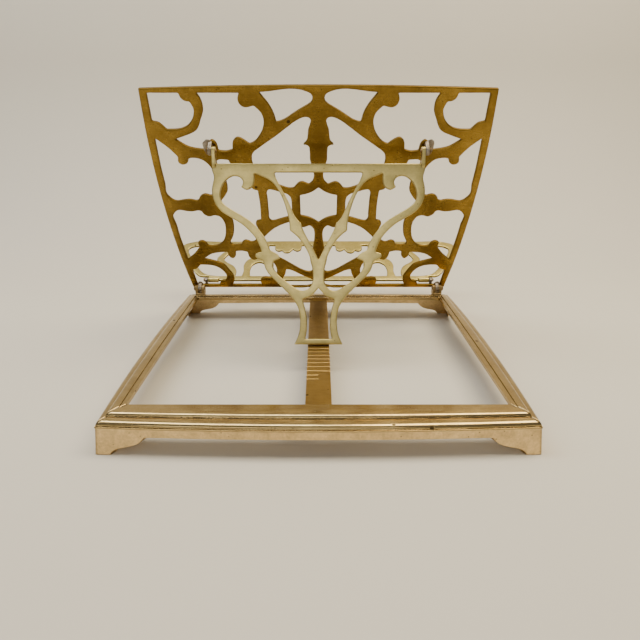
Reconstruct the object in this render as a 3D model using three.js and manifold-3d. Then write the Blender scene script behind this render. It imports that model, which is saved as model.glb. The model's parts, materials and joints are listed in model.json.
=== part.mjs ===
// Folding book display stand: a cast brass base with a notched ratchet bar, a pierced back panel
// hinged along the front, a pierced book ledge and a lyre-shaped strut whose foot drops in a notch.
// Millimetres, +Z up, X across, the reader at -Y, origin on the floor under the whole stand. The
// dimensions below are measured from the middle of the base.
import * as THREE from 'three';
import { mergeVertices } from 'three/addons/utils/BufferGeometryUtils.js';
import Module from 'manifold-3d';

const wasm = await Module();
wasm.setup();

// ---- driving dimensions -------------------------------------------------------------------
const GAP = 0.3;                    // clearance between pieces that rest on each other
const LIP_HALF_X = 149.5;           // base corners, at the outer lip
const LIP_HALF_Y = 127.5;
const BOW = 4.5;                    // outward bow of each side of the base
const INNER_HALF_X = 134.5;         // straight inner edges of the base frame
const INNER_HALF_Y = 108;
const RAIL_TOP = 27;
const LIP_BOTTOM = RAIL_TOP - 7.4;  // underside of the moulding's outer lip
const APRON_BOTTOM = 13;
const RAIL_WIDTH = 19.5;            // nominal width of the moulding section
const FOOT_WIDTH = 9.5;             // flat of a bracket foot, from the mitre
const FOOT_SWEEP = 22.5;             // length of the ogee from the foot up to the apron
const APRON_IN = 0.4;               // apron faces, measured inward from the lip
const APRON_OUT = 4.2;
const FOOT_SPLAY = 2.6;             // how far the feet splay outward at the floor
const RAIL_STEPS = 16;

const BAR_HALF_WIDTH = 9.5;
const BAR_TOP = 24;
const BAR_THICKNESS = 4.5;
const NOTCH_COUNT = 10;
const NOTCH_PITCH = 6.7;
const NOTCH_FIRST_Y = 9;            // the notch that holds the strut's foot
const NOTCH_DEPTH = 1.2;

const HINGE_Y = -121;               // panel hinge axis
const HINGE_Z = 33;
const PANEL_TILT = THREE.MathUtils.degToRad(63.4);
const PANEL_THICKNESS = 3.5;
const PANEL_RISE = 5.8;             // hinge axis to panel middle line, along and behind the panel
const PANEL_BEHIND = 4.2;
const PANEL_HALF_HEIGHT = 112;
const PANEL_MIDDLE = 102.8;         // panel centre, above the foot of its slope
const PANEL_BORDER_X = 143;
const PANEL_BOW = 6.5;
const PANEL_TOP_BOW = 2.5;

const PIVOT_UP = 165;               // strut pivot in the panel's own frame
const PIVOT_BEHIND = 7.2;
const STRUT_THICKNESS = 3.4;
const FOOT_LIFT = 0.85;             // middle of the foot's end face above the bar's top
const STRUT_HALF_TOP = 91.5;
const STRUT_TOP_EDGE = 156.8;       // top of the strut's plate, above its foot
const STRUT_EAR_FOOT = 154;         // where its two ears leave the plate
const STRUT_EAR = 3;

const LEDGE_THICKNESS = 3;
const LEDGE_UP = -3.6;              // ledge hinge axis in the panel's own frame
const LEDGE_FRONT = 3.3;

const MAIN_EYE = { head: 3.7, bore: 1.95, pin: 1.6 };
const SMALL_EYE = { head: 2.8, bore: 1.5, pin: 1.15 };
const ROUND_SIDES = 20;
const SPLINE_STEPS = 2;             // straight steps between two points of a smooth outline
const CORNER = 1;

// ---- materials ----------------------------------------------------------------------------
const brass = (color, roughness) => new THREE.MeshStandardMaterial({ color, roughness, metalness: 1 });
const PANEL_BRASS = brass(0x8a6a24, 0.42);
const STRUT_BRASS = brass(0xb9a566, 0.45);
const BASE_BRASS = brass(0xa88a58, 0.4);
const SOLDERED = brass(0x6f6a5c, 0.6);
const PIN_METAL = brass(0x4a3a22, 0.5);

// ---- helpers ------------------------------------------------------------------------------
function solid(geometry) {
  const bare = geometry.clone();
  bare.deleteAttribute('normal');
  bare.deleteAttribute('uv');
  const merged = mergeVertices(bare, 1e-4);
  return new wasm.Manifold(new wasm.Mesh({
    numProp: 3,
    vertProperties: merged.attributes.position.array,
    triVerts: Uint32Array.from(merged.index.array),
  }));
}

function geometryOf(manifold) {
  const mesh = manifold.getMesh();
  const geometry = new THREE.BufferGeometry();
  geometry.setAttribute('position', new THREE.BufferAttribute(mesh.vertProperties, 3));
  geometry.setIndex(new THREE.BufferAttribute(mesh.triVerts, 1));
  geometry.computeVertexNormals();
  return geometry;
}

// A closed outline: [x, y] is a smooth point and [x, y, CORNER] a sharp one.
function outline(points) {
  const start = points.findIndex((point) => point[2] === CORNER);
  const turned = start < 0 ? points : [...points.slice(start), ...points.slice(0, start)];
  const vectors = turned.map(([x, y]) => new THREE.Vector2(x, y));
  if (start < 0) {
    const around = vectors.map(({ x, y }) => new THREE.Vector3(x, y, 0));
    const loop = new THREE.CatmullRomCurve3(around, true).getPoints(points.length * SPLINE_STEPS);
    return loop.slice(0, -1).map(({ x, y }) => new THREE.Vector2(x, y));
  }
  const result = [];
  let run = [vectors[0]];
  for (let i = 1; i <= turned.length; i += 1) {
    run.push(vectors[i % turned.length]);
    if (i === turned.length || turned[i][2] === CORNER) {
      const steps = run.length === 2 ? 1 : (run.length - 1) * SPLINE_STEPS;
      result.push(...new THREE.SplineCurve(run).getPoints(steps).slice(0, -1));
      run = [vectors[i % turned.length]];
    }
  }
  return result;
}

const mirrorX = (points) => points.map(([x, y, kind]) => [-x, y, kind]).reverse();
const mirrorY = (points) => points.map(([x, y, kind]) => [x, -y, kind]).reverse();
const bothSides = (points) => [points, mirrorX(points)];
const fourWays = (points) => [...bothSides(points), ...bothSides(mirrorY(points))];

// A half outline closed by its own reflection; its points on the mirror line are used once.
const closeAcrossX = (half) => [...half, ...mirrorX(half.filter(([x]) => x !== 0))];
const closeAcrossY = (half) => [...half, ...mirrorY(half.filter(([, y]) => y !== 0))];

// A flat pierced casting, its thickness running from z = 0 towards +Z.
function piercedPlate(edge, holes, thickness) {
  const rim = outline(edge);
  const shape = new THREE.Shape(THREE.ShapeUtils.isClockWise(rim) ? rim.reverse() : rim);
  shape.holes = holes.map((hole) => new THREE.Path(outline(hole)));
  return new THREE.ExtrudeGeometry(shape, { depth: thickness, bevelEnabled: false });
}

// A pin or boss lying along X between two places.
function pin([fromX, toX], radius) {
  const rod = new THREE.CylinderGeometry(radius, radius, toX - fromX, ROUND_SIDES);
  return rod.rotateZ(Math.PI / 2).translate((fromX + toX) / 2, 0, 0);
}

// Turns an extrusion so that its section lies in the YZ plane and its depth runs along X.
const ALONG_X = new THREE.Matrix4().makeBasis(
  new THREE.Vector3(0, 1, 0), new THREE.Vector3(0, 0, 1), new THREE.Vector3(1, 0, 0));

// An eye plate in the YZ plane: a round head on the axis, which lies to the left of the way
// from one end of its foot to the other.
function eyePlate([fromX, toX], eye, footStart, footEnd) {
  const shape = new THREE.Shape();
  const start = new THREE.Vector2(...footStart);
  const end = new THREE.Vector2(...footEnd);
  const turn = end.clone().sub(start).angle();
  shape.moveTo(start.x, start.y);
  shape.lineTo(end.x, end.y);
  shape.absarc(0, 0, eye.head, turn, turn + Math.PI, false);
  shape.closePath();
  shape.holes.push(new THREE.Path().absarc(0, 0, eye.bore, 0, 2 * Math.PI, true));
  const plate = new THREE.ExtrudeGeometry(shape, {
    depth: toX - fromX, curveSegments: 10, bevelEnabled: false,
  });
  return plate.applyMatrix4(ALONG_X).translate(fromX, 0, 0);
}

const stand = new THREE.Group();
function add(parent, name, geometry, material) {
  const mesh = new THREE.Mesh(geometry, material.clone());
  mesh.name = name;
  parent.add(mesh);
  return mesh;
}
const sides = [['left', -1], ['right', 1]];
// The same X span on either side of the middle.
const span = (sign, near, far) => (sign > 0 ? [near, far] : [-far, -near]);

// ---- base frame ---------------------------------------------------------------------------
// Maps rail coordinates (u along the rail from -1 to 1, s inward from the lip, z up) to a place
// on the front rail; the lip is bowed, the inner edge is straight, the ends are mitred and the
// apron splays outward at the feet.
function bendRail(geometry, across, deep, innerAcross, innerDeep) {
  const position = geometry.attributes.position;
  for (let i = 0; i < position.count; i += 1) {
    const u = position.getX(i);
    const below = Math.max(0, 1 - position.getZ(i) / LIP_BOTTOM);
    const splay = FOOT_SPLAY * below * THREE.MathUtils.smoothstep(Math.abs(u), 0.7, 1);
    const inward = (position.getY(i) - splay) / RAIL_WIDTH;
    const half = THREE.MathUtils.lerp(across, innerAcross, inward) - GAP / 2;
    const lip = deep + BOW * (1 - u * u);
    position.setX(i, u * half);
    position.setY(i, -THREE.MathUtils.lerp(lip, innerDeep, inward));
  }
  return geometry;
}

// The moulding section from the lip inward: two rounded bands and a flat inner rim.
function mouldingBar() {
  const section = new THREE.Shape();
  section.moveTo(0, LIP_BOTTOM);
  section.lineTo(APRON_OUT + 0.8, LIP_BOTTOM);
  section.lineTo(APRON_OUT + 1.4, RAIL_TOP - 4.4);
  section.lineTo(RAIL_WIDTH, RAIL_TOP - 4);
  section.lineTo(RAIL_WIDTH, RAIL_TOP - 0.7);
  section.lineTo(15.4, RAIL_TOP - 0.7);
  section.lineTo(15, RAIL_TOP);
  section.quadraticCurveTo(8.4, RAIL_TOP + 0.1, 7.5, RAIL_TOP - 2.2);
  section.lineTo(6.8, RAIL_TOP - 2.9);
  section.quadraticCurveTo(1.6, RAIL_TOP - 2.9, 0.8, RAIL_TOP - 6);
  section.lineTo(0, RAIL_TOP - 6.2);
  section.closePath();
  const bar = new THREE.ExtrudeGeometry(section, {
    depth: 2, steps: RAIL_STEPS, curveSegments: 5, bevelEnabled: false,
  });
  return bar.applyMatrix4(ALONG_X).translate(-1, 0, 0);
}

// The apron board with an ogee bracket foot at each end, in lengths of the half rail.
function apronBoard(half) {
  const shape = new THREE.Shape();
  const footEnd = half - FOOT_WIDTH;
  const reach = footEnd - FOOT_SWEEP;
  const top = LIP_BOTTOM + 0.8;
  shape.moveTo(-half, 0);
  shape.lineTo(-footEnd, 0);
  shape.bezierCurveTo(-footEnd + 2.2, 8, -footEnd + 17, 2.5, -reach, APRON_BOTTOM);
  for (let i = 1; i < RAIL_STEPS; i += 1) {
    shape.lineTo(-reach + (2 * reach * i) / RAIL_STEPS, APRON_BOTTOM);
  }
  shape.lineTo(reach, APRON_BOTTOM);
  shape.bezierCurveTo(footEnd - 17, 2.5, footEnd - 2.2, 8, footEnd, 0);
  shape.lineTo(half, 0);
  for (let i = 0; i <= RAIL_STEPS; i += 1) {
    shape.lineTo(half - (2 * half * i) / RAIL_STEPS, top);
  }
  shape.closePath();
  const board = new THREE.ExtrudeGeometry(shape, {
    depth: APRON_OUT - APRON_IN, curveSegments: 6, bevelEnabled: false,
  });
  return board.rotateX(Math.PI / 2).translate(0, APRON_OUT, 0).scale(1 / half, 1, 1);
}

function rail(across, deep, innerAcross, innerDeep) {
  const moulding = bendRail(mouldingBar(), across, deep, innerAcross, innerDeep);
  const apron = bendRail(apronBoard(across), across, deep, innerAcross, innerDeep);
  return geometryOf(solid(moulding).add(solid(apron)));
}

function addBase() {
  const long = () => rail(LIP_HALF_X, LIP_HALF_Y, INNER_HALF_X, INNER_HALF_Y);
  const short = () => rail(LIP_HALF_Y, LIP_HALF_X, INNER_HALF_Y, INNER_HALF_X);
  add(stand, 'front_rail', long(), BASE_BRASS);
  add(stand, 'rear_rail', long().rotateZ(Math.PI), BASE_BRASS);
  add(stand, 'left_rail', short().rotateZ(-Math.PI / 2), BASE_BRASS);
  add(stand, 'right_rail', short().rotateZ(Math.PI / 2), BASE_BRASS);
}

// The ratchet bar runs between the front and rear rails, with filed V notches on its top face.
function addRatchetBar() {
  const half = INNER_HALF_Y - GAP;
  const bar = new THREE.BoxGeometry(2 * BAR_HALF_WIDTH, 2 * half, BAR_THICKNESS);
  bar.translate(0, 0, BAR_TOP - BAR_THICKNESS / 2);
  let body = solid(bar);
  for (let i = 0; i < NOTCH_COUNT; i += 1) {
    const file = new THREE.BoxGeometry(2 * BAR_HALF_WIDTH + 2, 2, 2);
    file.rotateX(Math.PI / 4).scale(1, 0.9, NOTCH_DEPTH / Math.SQRT2);
    body = body.subtract(solid(file.translate(0, NOTCH_FIRST_Y + i * NOTCH_PITCH, BAR_TOP)));
  }
  add(stand, 'ratchet_bar', geometryOf(body), BASE_BRASS);
}

// ---- panel hinge --------------------------------------------------------------------------
const FORK_EARS = [[128.6, 131.8], [135.6, 138.8]];
const KNUCKLE = [132.1, 135.3];
const FORK_PLATE = { depth: 9, thickness: 1.4 };
const PIN_HEAD = 2.9;

// A pin from one place to another, with a peened head outboard of the last eye it passes.
function headedPin(sign, near, far, radius, head) {
  const shank = solid(pin(span(sign, near, far + 1.2), radius));
  return geometryOf(shank.add(solid(pin(span(sign, far + GAP, far + 2.2), head))));
}

function addHingeForks() {
  const plateTop = RAIL_TOP + GAP + FORK_PLATE.thickness - HINGE_Z;
  const earFoot = plateTop - 0.4;
  for (const [side, sign] of sides) {
    const hinge = new THREE.Group();
    hinge.position.set(0, HINGE_Y, HINGE_Z);
    const [from, to] = span(sign, FORK_EARS[0][0], FORK_EARS[1][1]);
    const plate = new THREE.BoxGeometry(to - from, FORK_PLATE.depth, FORK_PLATE.thickness);
    let fork = solid(plate.translate((from + to) / 2, 0, plateTop - FORK_PLATE.thickness / 2));
    for (const ends of FORK_EARS) {
      const [earStart, earEnd] = [[-MAIN_EYE.head, earFoot], [MAIN_EYE.head, earFoot]];
      const ear = eyePlate(span(sign, ...ends), MAIN_EYE, earStart, earEnd);
      fork = fork.add(solid(ear));
    }
    add(hinge, `hinge_fork_${side}`, geometryOf(fork), BASE_BRASS);
    const rod = headedPin(sign, FORK_EARS[0][0] - 0.6, FORK_EARS[1][1], MAIN_EYE.pin, PIN_HEAD);
    add(hinge, `hinge_pin_${side}`, rod, PIN_METAL);
    stand.add(hinge);
  }
}

// ---- back panel ---------------------------------------------------------------------------
// Panel group: X across, Y up the panel from the foot of its slope, Z out towards the reader;
// the panel's back face is at z = 0.
const panel = new THREE.Group();
const panelUp = new THREE.Vector3(0, Math.cos(PANEL_TILT), Math.sin(PANEL_TILT));
const panelFront = new THREE.Vector3(0, -Math.sin(PANEL_TILT), Math.cos(PANEL_TILT));
const panelOrigin = new THREE.Vector3(0, HINGE_Y, HINGE_Z);
panelOrigin.addScaledVector(panelUp, PANEL_RISE).addScaledVector(panelFront, PANEL_BEHIND);
const placePanel = new THREE.Matrix4().makeBasis(new THREE.Vector3(1, 0, 0), panelUp, panelFront);
panel.applyMatrix4(placePanel.setPosition(panelOrigin));
stand.add(panel);

// One quarter of the pattern, right and upper, measured from the middle of the panel.
const CORNER_POCKET = [
  [137.2, 108, CORNER], [112, 108, CORNER], [111, 104], [108, 101.4], [104.5, 101, CORNER],
  [102.4, 95], [104.5, 87.5], [110, 81], [118, 77.8], [128.5, 77.4, CORNER], [131, 80.5],
  [134, 83.4], [138.9, 84.6, CORNER],
];
const UPPER_FIELD = [
  [97.5, 108, CORNER], [63.8, 108, CORNER], [65.4, 103], [63.8, 98.2], [59.5, 96.2], [53, 97.7, CORNER],
  [47.6, 92], [45.9, 84.5], [48.6, 75], [55, 66.8], [60, 64.4, CORNER], [65.5, 68.8], [70, 70.2],
  [74, 66.5], [75.2, 59, CORNER], [81, 57.4], [87.6, 58, CORNER], [88.4, 64.5], [92, 68.2],
  [95.8, 64.5], [96.6, 58.8, CORNER], [105, 59.6], [114, 62], [123, 68.6, CORNER], [112, 72.4],
  [103, 77], [98, 86], [94.6, 94], [94.8, 102],
];
const BORDER_GAP = [
  [47.5, 108.6, CORNER], [9.5, 109, CORNER], [6, 107], [5, 103.5], [7.2, 99.8], [18, 93.2],
  [29, 86], [35.3, 84, CORNER], [36.8, 91], [40.5, 99],
];
const SIDE_FIELD = [
  [140.4, 69.5, CORNER], [142.2, 40], [142.8, 11, CORNER], [139.5, 7], [135.5, 5.2], [129, 6.4],
  [123, 6.9], [117, 5.7], [114.4, 6.8, CORNER], [112.6, 10.4], [108, 13], [102.6, 11.6, CORNER],
  [97.5, 13.2], [94.2, 20], [94.2, 30], [97.5, 42], [104, 49.2], [112, 50.8], [115.4, 50, CORNER],
  [117, 46.2], [121, 44], [125.4, 46.2], [124.6, 51.8, CORNER], [131, 60.5],
];
// Beside the bell, from the centre column out to the band's inner end and back.
const ARCH_FIELD = [
  [6.4, 85], [10, 88.2], [19, 84.8], [35, 72.6], [52, 60.4], [58, 55], [59.2, 47], [57.4, 41.4],
  [54.4, 37.4, CORNER], [46, 28.8], [37, 23], [28, 19.6], [23, 20, CORNER], [19.6, 24.4],
  [15.4, 26.4], [9, 23.8, CORNER], [5.6, 27.4], [4.3, 33],
];
const BELL_SIDE = [[5.4, 41], [7.6, 49], [8.2, 61.5], [13.4, 63.6, CORNER], [10, 68], [8.8, 77]];
const STEM_SIDE = [[4.5, 42], [5.8, 52], [6.6, 62], [6.2, 74]];
// Between the side scroll and the upright bar; starts and ends on the middle line.
const SCROLL_FIELD = [
  [97, 0], [91.5, 7.5], [85.6, 16.5], [85.2, 26], [87, 36], [91.2, 46], [88.5, 49.2],
  [80.2, 48.8, CORNER], [78.8, 45], [74.8, 43.2], [70.4, 45.4, CORNER], [66.5, 44.6], [62.8, 38],
  [61, 28.5, CORNER], [62.8, 22], [61.4, 18.4], [57.2, 17.2, CORNER], [56.5, 0],
];
// Beside the central hexagon; starts and ends on the middle line.
const INNER_FIELD = [
  [48.6, 0], [48.6, 15.4, CORNER], [46.2, 18.4], [38.5, 16.2], [30, 13.2, CORNER], [26.6, 9], [26, 0],
];
// The right half of the central hexagon, from its top point to its bottom one.
const HEXAGON = [
  [0, 20.4, CORNER], [4.6, 16.6], [10, 13.8], [17.5, 11.8, CORNER], [17.5, -11.8, CORNER],
  [10, -13.8], [4.6, -16.6], [0, -20.4, CORNER],
];

function panelEdge() {
  const top = PANEL_HALF_HEIGHT - 0.5;
  const points = [];
  for (const t of [-0.66, -0.33, 0, 0.33, 0.66]) {
    points.push([PANEL_BORDER_X + PANEL_BOW * (1 - t * t), t * PANEL_HALF_HEIGHT]);
  }
  return [
    [PANEL_BORDER_X, -PANEL_HALF_HEIGHT, CORNER], ...points,
    [PANEL_BORDER_X, top, CORNER], [PANEL_BORDER_X / 2, top + 0.75 * PANEL_TOP_BOW],
    [0, top + PANEL_TOP_BOW],
  ];
}

function panelHoles() {
  return [
    ...fourWays(CORNER_POCKET),
    ...fourWays(UPPER_FIELD),
    ...fourWays(BORDER_GAP),
    ...fourWays(SIDE_FIELD),
    ...bothSides([...ARCH_FIELD, ...BELL_SIDE]),
    ...bothSides(mirrorY([...ARCH_FIELD, ...STEM_SIDE])),
    ...bothSides(closeAcrossY(SCROLL_FIELD)),
    ...bothSides(closeAcrossY(INNER_FIELD)),
    closeAcrossX(HEXAGON),
  ];
}

function addPanel() {
  const plate = piercedPlate(closeAcrossX(panelEdge()), panelHoles(), PANEL_THICKNESS);
  add(panel, 'back_panel', plate.translate(0, PANEL_MIDDLE, 0), PANEL_BRASS);
}

// The knuckles that turn on the hinge pins, soldered to the back of the panel's bottom border.
function addPanelKnuckles() {
  const base = PANEL_BEHIND - GAP;
  for (const [side, sign] of sides) {
    const knuckle = eyePlate(span(sign, ...KNUCKLE), MAIN_EYE, [5, base], [-3.2, base]);
    add(panel, `panel_knuckle_${side}`, knuckle.translate(0, -PANEL_RISE, -PANEL_BEHIND), SOLDERED);
  }
}

// ---- strut --------------------------------------------------------------------------------
// Strut group: origin on its pivot, X across, Y from the foot towards the pivot.
const pivot = panelOrigin.clone();
pivot.addScaledVector(panelUp, PIVOT_UP).addScaledVector(panelFront, -PIVOT_BEHIND);
const foot = new THREE.Vector3(0, NOTCH_FIRST_Y, BAR_TOP + FOOT_LIFT);
const strutUp = pivot.clone().sub(foot).normalize();
const STRUT_LENGTH = pivot.distanceTo(foot);

// The right half of the outer edge, heights measured up from the foot.
const STRUT_EDGE = [
  [STRUT_HALF_TOP, STRUT_TOP_EDGE, CORNER], [STRUT_HALF_TOP, 150.4, CORNER], [90, 145], [91.8, 136],
  [90.8, 126.5], [84, 116.2], [66, 105], [54.4, 92.8], [49.6, 81.6, CORNER], [54.8, 80], [54.4, 76.4],
  [48.6, 74, CORNER], [45.4, 65], [38.5, 57], [24.5, 43], [18, 32.5], [16.2, 21], [17.6, 9],
  [21.6, 0, CORNER],
];
const STRUT_LOOP = [
  [55.4, 148.6, CORNER], [55.4, 142], [57.4, 137], [62.2, 134.6], [66.8, 137.2, CORNER], [65, 141.4],
  [68.4, 145.6], [74.6, 146], [81.4, 140.8], [84.8, 132], [83.2, 124.2], [76, 118.4], [58.5, 107.5],
  [47.2, 94.4], [42.2, 83, CORNER], [36.4, 79.8], [33.6, 75.8], [38.6, 74, CORNER], [39.8, 69.5],
  [35.2, 61.6], [21.5, 50.8], [13.5, 47.6], [7, 51.6], [4.9, 61], [8, 78], [16.5, 92.6],
  [25, 100, CORNER], [25.8, 109.6], [31, 127], [40.2, 141.4],
];
const STRUT_ARCH = [
  [37.4, 149.4, CORNER], [37, 145.8], [27.2, 127], [20, 111.6], [15, 106, CORNER],
  [13.2, 100.4], [4.6, 84], [0, 74.8, CORNER],
];
const STRUT_LEGS = [
  [0, 50, CORNER], [6.4, 43.2], [14, 40, CORNER], [10.7, 26], [10.4, 13.5], [11.8, 5, CORNER],
];

function addStrut() {
  const holes = [...bothSides(STRUT_LOOP), closeAcrossX(STRUT_ARCH), closeAcrossX(STRUT_LEGS)];
  const plate = piercedPlate(closeAcrossX(STRUT_EDGE), holes, STRUT_THICKNESS);
  let body = solid(plate.translate(0, -STRUT_LENGTH, -STRUT_THICKNESS / 2));
  const earFoot = STRUT_EAR_FOOT - STRUT_LENGTH;
  const half = STRUT_THICKNESS / 2;
  for (const [, sign] of sides) {
    const ends = span(sign, STRUT_HALF_TOP - STRUT_EAR, STRUT_HALF_TOP);
    body = body.add(solid(eyePlate(ends, MAIN_EYE, [earFoot, half], [earFoot, -half])));
  }
  const strut = add(stand, 'strut', geometryOf(body), STRUT_BRASS);
  const across = new THREE.Vector3(1, 0, 0);
  const place = new THREE.Matrix4().makeBasis(across, strutUp, across.clone().cross(strutUp));
  strut.applyMatrix4(place.setPosition(pivot));
}

// The lugs soldered to the panel's back, outboard of the strut's ears, and their pins.
function addStrutHinges() {
  const lugNear = STRUT_HALF_TOP + GAP;
  const lugFar = lugNear + 3;
  const base = PIVOT_BEHIND - GAP;
  for (const [side, sign] of sides) {
    const lug = eyePlate(span(sign, lugNear, lugFar), MAIN_EYE, [5.4, base], [-5.4, base]);
    add(panel, `strut_lug_${side}`, lug.translate(0, PIVOT_UP, -PIVOT_BEHIND), SOLDERED);
    const rod = headedPin(sign, STRUT_HALF_TOP - STRUT_EAR - 0.8, lugFar, MAIN_EYE.pin, PIN_HEAD);
    add(panel, `strut_pin_${side}`, rod.translate(0, PIVOT_UP, -PIVOT_BEHIND), PIN_METAL);
  }
}

// ---- ledge --------------------------------------------------------------------------------
// Ledge outline, the right half: X across and Y out from the hinge axis towards the reader.
const LEDGE_KNUCKLE = [114, 126];
const LEDGE_EDGE = [
  [LEDGE_KNUCKLE[1], -1.5, CORNER], [LEDGE_KNUCKLE[1], 4.8, CORNER], [135, 4.8, CORNER], [141, 9], [153, 27],
  [164, 42.5], [167, 52], [163, 61], [152, 65.4, CORNER], [76, 66.4], [0, 66.8],
];
const LEDGE_END = [
  [150, 57, CORNER], [157, 53], [155, 44], [146, 29], [137.5, 15.5], [129, 8], [116, 5.4, CORNER],
  [104, 5.4, CORNER], [103, 12], [108, 20.5], [117, 27], [120.5, 35], [116, 43], [111.6, 50],
  [113, 58.6, CORNER], [132, 58.8],
];
const LEDGE_MIDDLE = [
  [96, 5.4, CORNER], [88.5, 5.4, CORNER], [87, 14], [87.8, 24], [84, 32.5], [76, 36.6], [67, 34.6, CORNER],
  [66, 43], [69, 51], [68, 59, CORNER], [104, 59, CORNER], [103.4, 50], [108.6, 41.6], [112, 34.6],
  [108, 28.6], [99.6, 22.6], [95.4, 14],
];
const LEDGE_INNER = [
  [78.5, 5.4, CORNER], [79.6, 14], [77.6, 23.4], [71, 28.4], [64.5, 26.6], [61.6, 20, CORNER], [56, 18],
  [52.6, 24], [55, 33.5], [58.8, 44], [60, 59, CORNER], [52.4, 59, CORNER], [52.6, 52.4], [48.6, 48.4],
  [44, 50, CORNER], [40.6, 45.6], [35, 46.6], [31, 52, CORNER], [26, 48.6], [21.4, 51.4],
  [20.4, 59, CORNER], [8, 59, CORNER], [6.4, 50], [10, 38], [8, 24], [4.8, 14], [5.2, 5.4, CORNER],
];

function addLedge() {
  const holes = [...bothSides(LEDGE_END), ...bothSides(LEDGE_MIDDLE), ...bothSides(LEDGE_INNER)];
  const plate = piercedPlate(closeAcrossX(LEDGE_EDGE), holes, LEDGE_THICKNESS);
  let body = solid(plate.translate(0, 0, -LEDGE_THICKNESS / 2));
  for (const [, sign] of sides) {
    body = body.add(solid(pin(span(sign, ...LEDGE_KNUCKLE), SMALL_EYE.head)));
    body = body.subtract(solid(pin(span(sign, LEDGE_KNUCKLE[0] + 2, LEDGE_KNUCKLE[1] + 2), SMALL_EYE.bore)));
  }
  const ledge = add(panel, 'ledge', geometryOf(body), PANEL_BRASS);
  ledge.rotation.x = Math.PI / 2;
  ledge.position.set(0, LEDGE_UP, PANEL_THICKNESS + LEDGE_FRONT);
}

function addLedgeHinges() {
  const lugNear = LEDGE_KNUCKLE[1] + GAP;
  const lugFar = lugNear + 3;
  const base = GAP - LEDGE_FRONT;
  for (const [side, sign] of sides) {
    const lug = eyePlate(span(sign, lugNear, lugFar), SMALL_EYE, [-3.4, base], [3.4, base]);
    const rod = headedPin(sign, LEDGE_KNUCKLE[0] + 3, lugFar, SMALL_EYE.pin, 2);
    for (const [name, geometry, material] of [['lug', lug, SOLDERED], ['pin', rod, PIN_METAL]]) {
      geometry.translate(0, LEDGE_UP, PANEL_THICKNESS + LEDGE_FRONT);
      add(panel, `ledge_${name}_${side}`, geometry, material);
    }
  }
}

addBase();
addRatchetBar();
addHingeForks();
addPanel();
addPanelKnuckles();
addStrut();
addStrutHinges();
addLedge();
addLedgeHinges();

// The origin lies under the middle of the whole stand, from the ledge's edge to the rear lip.
stand.updateMatrixWorld(true);
const whole = new THREE.Box3().setFromObject(stand, true);
stand.position.y = -(whole.min.y + whole.max.y) / 2;

export default stand;
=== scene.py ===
"""Folding brass book stand: cast surfaces, hinges, finishes and studio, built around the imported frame."""
import json
import math

import bmesh
import bpy
import numpy as np
from bpy.props import FloatProperty, FloatVectorProperty, IntProperty, PointerProperty
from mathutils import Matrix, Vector
from mathutils.geometry import delaunay_2d_cdt


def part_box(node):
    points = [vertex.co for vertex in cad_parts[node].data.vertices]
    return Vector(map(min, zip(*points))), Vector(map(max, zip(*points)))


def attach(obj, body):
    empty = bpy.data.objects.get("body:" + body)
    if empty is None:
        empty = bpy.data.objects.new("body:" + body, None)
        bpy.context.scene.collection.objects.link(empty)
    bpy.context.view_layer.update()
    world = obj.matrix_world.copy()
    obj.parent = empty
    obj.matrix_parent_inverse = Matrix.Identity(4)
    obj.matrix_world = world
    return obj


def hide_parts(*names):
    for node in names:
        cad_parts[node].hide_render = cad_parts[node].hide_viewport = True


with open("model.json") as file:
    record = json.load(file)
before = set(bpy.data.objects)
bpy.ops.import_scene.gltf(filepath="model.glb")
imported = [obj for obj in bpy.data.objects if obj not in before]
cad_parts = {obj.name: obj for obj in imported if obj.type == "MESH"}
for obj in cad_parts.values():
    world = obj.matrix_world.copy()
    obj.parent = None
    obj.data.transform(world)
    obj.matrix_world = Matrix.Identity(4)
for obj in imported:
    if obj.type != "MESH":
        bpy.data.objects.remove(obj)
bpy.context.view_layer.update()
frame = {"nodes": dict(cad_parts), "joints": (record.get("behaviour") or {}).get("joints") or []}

bl_info = {
    "name": "Folding Book Stand",
    "version": (1, 0, 0),
    "blender": (4, 5, 0),
    "location": "View3D > Sidebar > Book Stand",
    "description": "Builds the cast surfaces, hinges and finishes of a folding brass book stand",
    "category": "Add Mesh",
}

MM = 0.001
GAP = 0.3 * MM
JOINT_AT = {joint["name"]: np.array(joint["pos_m"]) for joint in frame["joints"]}
SIDES = (("left", -1), ("right", 1))
ACROSS = np.array([1.0, 0.0, 0.0])
EYE_HEAD = 3.7 * MM
EYE_BORE = 1.9 * MM
POINTS_AT_ONCE = 400
# The rail's section, in millimetres: its width, the lip's lower edge under the top, and how far the
# apron is set back from the lip.
RAIL_WIDTH = 19.5
LIP_DROP = 7.4
APRON_SETBACK = 0.4


def corners(node):
    """Lowest and highest corner of a CAD node, as arrays in metres."""
    return [np.array(corner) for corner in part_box(node)]


def reach(node):
    """How far a CAD node's near and far ends stand from the middle along X."""
    return np.sort(np.abs([corner[0] for corner in corners(node)]))


# ---- settings -----------------------------------------------------------------------------
class CastingSettings(bpy.types.PropertyGroup):
    edge_radius: FloatProperty(
        name="Edge radius", description="Rounding of the pierced castings' edges",
        default=0.8 * MM, min=0.2 * MM, unit="LENGTH")
    crown: FloatProperty(
        name="Crown", description="How far a bar's face falls away towards its edges",
        default=0.22 * MM, min=0, unit="LENGTH")
    ripple: FloatProperty(
        name="Ripple", description="Unevenness left by hand filing",
        default=0.09 * MM, min=0, unit="LENGTH")
    spacing: FloatProperty(
        name="Outline spacing", description="Distance between points along an outline",
        default=0.75 * MM, min=0.3 * MM, unit="LENGTH")


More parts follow.
